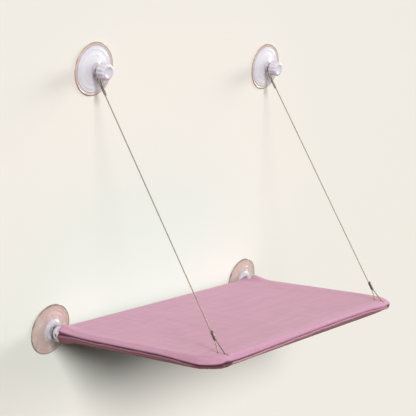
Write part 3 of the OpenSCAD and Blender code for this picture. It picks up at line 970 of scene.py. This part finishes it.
def edge_run(limit):
    """Length of the cloth round the edge's section, from flat to the seam."""
    points = []
    for i in range(EDGE_RUN_STEPS + 1):
        angle = limit * i / EDGE_RUN_STEPS
        radius = EDGE_R * squared(angle, EDGE_POWER)
        points.append(Vector((radius * sin(angle), radius * cos(angle))))
    return length_of(points)


def grid_lines(inner, wraps, extra):
    """Places of grid lines: even between the tubes' axes, close together round the edges, and extra ones."""
    low, high = inner
    count = round((high - low) / GRID_STEP)
    lines = [low + (high - low) * i / count for i in range(count + 1)]
    for start, run in wraps:
        lines += [start + run * i / WRAP_STEPS for i in range(1, WRAP_STEPS + 1)]
    lines = [line for line in lines if all(abs(line - e) > LEAST_GRID_STEP for e in extra)]
    return sorted(lines + list(extra))


# Holes for the strands of the lower eyes: half their width, and half their length by the strand's side
HOLE_HALF = 1.25
HOLE_REACHES = {1: 1.6, -1: 2.2}


def strand_holes():
    """Where the two strands of a lower eye go through the cover: near and far end of each hole, forward."""
    holes = []
    for sign, reach in HOLE_REACHES.items():
        start = lower_point(sign * LOWER_EYE_R * cos(LOWER_LEAN), LOWER_EYE_R * sin(LOWER_LEAN))
        start, end = start - on_bed(0, 0, 0), lower_point(sign * STRAND, LOWER_EYE_L) - on_bed(0, 0, 0)
        low, high = start.dot(BED_UP) / MM ** 2, end.dot(BED_UP) / MM ** 2
        crossing = start.lerp(end, (EDGE_R - low) / (high - low)).dot(BED_FORWARD) / MM ** 2
        holes.append((crossing - reach, crossing + reach))
    return sorted(holes)


def keep_seam_gaps(piece, gaps):
    """Stores each point's distance from the seam, which the cloth's painted seam shade and edge highlight
    follow.
    """
    kept = piece.data.attributes.new("seam_gap", "FLOAT", "POINT")
    for i, gap in enumerate(gaps):
        kept.data[i].value = gap


def make_cloth(piece, finish, replaced):
    """Gives a sheet its thickness and finish, and sets it on the bed."""
    thick = piece.modifiers.new("cloth thickness", "SOLIDIFY")
    thick.thickness = CLOTH_T * MM
    thick.offset = 0
    settle(piece, finish, "bed", replaced)


def make_panel(up, name, replaced, finish):
    """One half of the cover as one sheet, with its wrap round the edges and its holes for the ropes."""
    run = SEAM_ANGLES[up] * EDGE_R
    holes = strand_holes() if up > 0 else []
    sleeve = HALF_W - MOUTH_R
    extra_a = [side * sleeve for side in (-1, 1)]
    if up > 0:
        extra_a += [side * ROPE_X + d for side in (-1, 1) for d in (-HOLE_HALF, HOLE_HALF)]
    extra_b = [b for hole in holes for b in hole] + [MOUTH_S]
    lines_a = grid_lines((-HALF_W, HALF_W), ((-HALF_W, -run), (HALF_W, run)), extra_a)
    lines_b = grid_lines((0, DEPTH), ((0, -run), (DEPTH, run)), extra_b)
    mesh = bmesh.new()
    store = mesh.verts.layers.float.new("seam_gap")
    rows = []
    for b in lines_b:
        row = []
        for a in lines_a:
            point, gap = cover_point(a, b, up)
            row.append(mesh.verts.new(point))
            row[-1][store] = gap
        rows.append(row)
    for j in range(len(lines_b) - 1):
        for i in range(len(lines_a) - 1):
            a, b = (lines_a[i] + lines_a[i + 1]) / 2, (lines_b[j] + lines_b[j + 1]) / 2
            past_mouth = b < MOUTH_S and abs(a) > sleeve
            hole = abs(abs(a) - ROPE_X) < HOLE_HALF and any(low < b < high for low, high in holes)
            if not past_mouth and not hole:
                mesh.faces.new((rows[j][i], rows[j][i + 1], rows[j + 1][i + 1], rows[j + 1][i]))
    bmesh.ops.delete(mesh, geom=[v for v in mesh.verts if not v.link_faces], context="VERTS")
    panel = finished(name, mesh)
    if (panel.data.polygons[len(panel.data.polygons) // 2].normal.z > 0) != (up > 0):
        panel.data.flip_normals()
    make_cloth(panel, finish, replaced)
    wrap = edge_run(SEAM_ANGLES[up])
    return panel, (2 * (HALF_W + wrap) * MM, (DEPTH + 2 * wrap) * MM)


top_panel, top_flat = make_panel(1, "cover_top_cloth", "cover_top_panel", canvas_top)
bottom_panel, bottom_flat = make_panel(-1, "cover_bottom_cloth", "cover_bottom_panel",
                                       canvas_shaded)


# Seam: twisted piping and stitches

PIPING_R = 1.9
PIPING_STRANDS = 3
PIPING_LAY = 8
PIPING_DROP = 2.3
PIPING_OUT = 0.1
PIPING_STEP = 1.2
# The piping wavers up and down: height, and wavelengths in x and s
PIPING_WAVES = ((0.25, 11, 9), (0.15, 4.1, -5.3))
# Where the piping lies tucked in behind the cloth: x, s, reach and depth
TUCKS = [(-238, 280, 24, 2.2), (246, 280, 18, 4)]
TUCK_POWER = 4
# The piping on the left lies in the cloth's shade: its colour is taken as this near to the seam
PIPING_SHADE = 1.5


def outline(step):
    """Places round the bed on the tubes' axes, from the left knuckle to the right: x, s and the way out."""
    places = []
    start = MOUTH_S + 1
    straight = ARC_S - start
    arc = pi / 2 * CORNER_R
    front = 2 * ARC_X
    total = 2 * straight + 2 * arc + front
    count = round(total / step)
    for i in range(count + 1):
        run = total * i / count
        side = -1 if run < total / 2 else 1
        half = min(run, total - run)
        if half < straight:
            places.append((side * HALF_W, start + half, side, 0))
        elif half < straight + arc:
            turn = (half - straight) / CORNER_R
            out_x, out_s = side * cos(turn), sin(turn)
            places.append((side * ARC_X + CORNER_R * out_x, ARC_S + CORNER_R * out_s, out_x, out_s))
        else:
            places.append((side * (ARC_X - (half - straight - arc)), DEPTH, 0, 1))
    return places


def on_edge(place, outside, height):
    """A point at the edge: that far outside the skin, and at a height above the bed's middle."""
    x, s, out_x, out_s = place
    reach = skin_reach(x, s, height) + outside
    return on_bed(x + out_x * reach, s + out_s * reach, height)


def make_piping():
    """Twisted piping sewn in below the seam, all round the edge."""
    route = []
    for place in outline(PIPING_STEP):
        x, s = place[:2]
        waver = sum(high * sin(x / wave_x + s / wave_s) for high, wave_x, wave_s in PIPING_WAVES)
        tucked = sum(deep * exp(-(hypot(x - at_x, s - at_s) / wide) ** TUCK_POWER)
                     for at_x, at_s, wide, deep in TUCKS)
        route.append(on_edge(place, PIPING_OUT - tucked, seam_height(x, s) - PIPING_DROP + waver))
    piping = stranded_tube("twisted_piping", route, PIPING_R, PIPING_STRANDS, PIPING_LAY)
    keep_seam_gaps(piping, [PIPING_SHADE if vertex.co.x < -HALF_W * MM else FAR_FROM_SEAM
                            for vertex in piping.data.vertices])
    settle(piping, piping_cloth, "bed", "cover_binding")
    return piping


THREAD_R = 0.3
# A thread's ends are this share of its thickness, and its section is turned by this direction
THREAD_END_SHARE = 0.4
THREAD_SET = Vector((0.3, 0.5, 0.8))


def thread_between(mesh, points):
    """A short thread with four sides through the given points."""
    rings = []
    for i, point in enumerate(points):
        ahead = heading(points, i)
        across = ahead.cross(THREAD_SET).normalized()
        over = ahead.cross(across)
        thin = THREAD_END_SHARE if i in (0, len(points) - 1) else 1
        rings.append([mesh.verts.new(point + (across * x + over * y) * THREAD_R * thin * MM)
                      for x, y in ((1, 0), (0, 1), (-1, 0), (0, -1))])
    close_tube(mesh, rings)


def sewn(name, mesh):
    """Stitches of one seam as one piece on the bed."""
    stitches = finished(name, mesh)
    dress(stitches, thread)
    keep_seam_gaps(stitches, [FAR_FROM_SEAM] * len(stitches.data.vertices))
    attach(stitches, "bed")
    return stitches


# Stitches that hold the piping: spacing, how far their points stand out, and their place under it
STITCH_STEP = 4
STITCH_RISES = (-0.1, 0.25, 0.25, -0.1)
STITCH_DROP = 1.2
LOWEST_STITCH = -7.2


def make_seam_stitches():
    """A row of running stitches that holds the piping, under it all round the edge."""
    mesh = bmesh.new()
    count = len(STITCH_RISES)
    places = outline(STITCH_STEP / count)
    for i in range(2, len(places) - count - 1, count):
        points = []
        for place, rise in zip(places[i:i + count], STITCH_RISES):
            height = seam_height(*place[:2]) - PIPING_DROP - PIPING_R - STITCH_DROP
            points.append(on_edge(place, CLOTH_T / 2 + rise, max(LOWEST_STITCH, height)))
        thread_between(mesh, points)
    return sewn("piping_stitches", mesh)


# Stitches round a hole: how many, and their points as distances out from its edge and up
HOLE_STITCHES = 16
HOLE_STITCH = ((0.1, 0.2), (0.45, 0.6), (1.0, 0.55), (1.4, 0.3))


def make_hole_stitches():
    """Buttonhole stitches round the two holes of each rope."""
    mesh = bmesh.new()
    for side in (-1, 1):
        for low, high in strand_holes():
            middle, half = (low + high) / 2, (high - low) / 2
            for i in range(HOLE_STITCHES):
                a = 2 * pi * i / HOLE_STITCHES
                points = []
                for reach, rise in HOLE_STITCH:
                    x = side * ROPE_X + (HOLE_HALF + reach) * cos(a)
                    s = middle + (half + reach) * sin(a)
                    points.append(cover_point(x, s, 1)[0] + BED_UP * rise)
                thread_between(mesh, points)
    return sewn("rope_hole_stitches", mesh)


# Closing flap: width, its depth under the tubes' plane, its grid, its hem and its ripples
FLAP_W = 24
FLAP_LOW = 9.4
FLAP_COLUMNS = 150
FLAP_ROWS = 12
HEM_H = 0.5
RIPPLE_H = 0.15
RIPPLE_TURN = 0.9


def make_flap():
    """The closing flap under the front edge: a strip of the same cloth with a turned hem."""
    mesh = bmesh.new()
    grid = []
    for j in range(FLAP_ROWS + 1):
        s = DEPTH - FLAP_W * j / FLAP_ROWS
        low = FLAP_LOW + HEM_H * bell(j - FLAP_ROWS + 1, 1)
        grid.append([mesh.verts.new(on_bed(-ARC_X + 2 * ARC_X * i / FLAP_COLUMNS, s,
                                           -low - RIPPLE_H * sin(i * RIPPLE_TURN + j)))
                     for i in range(FLAP_COLUMNS + 1)])
    for j in range(FLAP_ROWS):
        for i in range(FLAP_COLUMNS):
            mesh.faces.new((grid[j][i], grid[j][i + 1], grid[j + 1][i + 1], grid[j + 1][i]))
    flap = finished("front_closing_flap", mesh)
    keep_seam_gaps(flap, [FAR_FROM_SEAM] * len(flap.data.vertices))
    make_cloth(flap, canvas_shaded, "cover_front_flap")


piping = make_piping()
seam_stitches = make_seam_stitches()
hole_stitches = make_hole_stitches()
make_flap()


# Stage and light

CREAM = "#F2EEE5"
WALL_GAP = 0.4
FLOOR_DROP = 900
BACKDROP_W = 12000
# Where the bed's bounced light falls on the wall the paint is darker, as painted shade that cancels it:
# middle and reach, across and up
GLOW_AT = (-40, 70)
GLOW_REACH = (520, 330)
BOUNCE_SHADE_PAINT = "#DFE9DE"
# The floor is as pale as the wall where it is seen, and this dark in the light that it gives back
FLOOR_BOUNCE = "#3A3937"


def seen_rays(tree):
    """1 for rays from the camera and for reflected and refracted ones, else 0."""
    path = add(tree, "LightPath")
    first = add(tree, "Math", {0: path.outputs["Is Camera Ray"], 1: path.outputs["Is Glossy Ray"]},
                operation="MAXIMUM")
    return add(tree, "Math", {0: first.outputs[0], 1: path.outputs["Is Transmission Ray"]},
               operation="MAXIMUM").outputs[0]


def near_bed(tree):
    """1 on the wall behind the bed, where it is painted darker as painted shade, fading to 0 around it."""
    place = add(tree, "NewGeometry").outputs["Position"]
    middle = (-GLOW_AT[0] / GLOW_REACH[0], 0, -GLOW_AT[1] / GLOW_REACH[1])
    scale = (1 / (GLOW_REACH[0] * MM), 0, 1 / (GLOW_REACH[1] * MM))
    near = add(tree, "Mapping", {"Vector": place, "Location": middle, "Scale": scale})
    reach = add(tree, "VectorMath", {0: near.outputs["Vector"]}, operation="LENGTH").outputs["Value"]
    return add(tree, "MapRange", {"Value": reach, "To Min": 1, "To Max": 0},
               interpolation_type="SMOOTHERSTEP").outputs["Result"]


def make_backdrop(name, place, turn, paint, laid_over, share_of):
    """A large painted plane that is clear when seen from behind and casts no shadow."""
    bpy.ops.mesh.primitive_plane_add(size=BACKDROP_W * MM, location=place, rotation=(turn, 0, 0))
    backdrop = bpy.context.object
    backdrop.name = name
    material, tree, shader = surface(f"painted_{name}", CREAM, 1, Specular_IOR_Level=0)
    mixed = add(tree, "Mix", {0: share_of(tree), 6: linear(paint), 7: linear(laid_over)}, data_type="RGBA")
    feed(tree, shader, {"Base Color": mixed.outputs[2]})
    clear = add(tree, "BsdfTransparent")
    seen_from_behind = add(tree, "NewGeometry").outputs["Backfacing"]
    to_lamp = add(tree, "LightPath").outputs["Is Shadow Ray"]
    either = add(tree, "Math", {0: seen_from_behind, 1: to_lamp}, operation="MAXIMUM").outputs[0]
    mix = add(tree, "MixShader", {0: either, 1: shader.outputs[0], 2: clear.outputs[0]})
    feed(tree, tree.nodes["Material Output"], {"Surface": mix.outputs[0]})
    dress(backdrop, material)
    return backdrop


# A cream painted wall and floor: matt and pale, so that shadows on them are soft and plain. Behind the bed
# the wall has a patch of painted shade
wall = make_backdrop("wall", (0, WALL_GAP * MM, 0), pi / 2, CREAM, BOUNCE_SHADE_PAINT, near_bed)
floor = make_backdrop("floor", (0, 0, -FLOOR_DROP * MM), 0, FLOOR_BOUNCE, CREAM, seen_rays)


# Soft lamps far away: name, direction towards it, strength and width in degrees. The daylight shines along
# the bed, so that it lights the backs of the cups and no side of the cloth
LAMPS = [
    ("front_light", (-0.433, -0.75, 0.5), 3.2, 20),
    ("low_light", (0.933, -0.25, 0.259), 2.1, 20),
    ("daylight", (0.1, cos(TILT), -sin(TILT)), 1.3, 20),
]
LAMP_DISTANCE = 3000
WORLD_LIGHT = 0.06
WORLD_SEEN = 0.9


def make_sun(name, towards, strength, width):
    data = bpy.data.lights.new(name, "SUN")
    data.energy = strength
    data.angle = radians(width)
    lamp = new_object(name, data)
    lamp.location = Vector(towards) * LAMP_DISTANCE * MM
    lamp.rotation_euler = Vector(towards).to_track_quat("Z", "Y").to_euler()


def light_room():
    """A front light from the left, a low one from the right, daylight through the window, a dim room."""
    world = bpy.data.worlds.new("studio")
    bpy.context.scene.world = world
    world.use_nodes = True
    tree = world.node_tree
    level = add(tree, "MapRange", {"Value": seen_rays(tree), "To Min": WORLD_LIGHT, "To Max": WORLD_SEEN})
    feed(tree, tree.nodes["Background"], {"Color": linear("#FFFFFF"), "Strength": level.outputs["Result"]})
    for lamp in LAMPS:
        make_sun(*lamp)


light_room()
bpy.context.scene.view_settings.view_transform = "Standard"
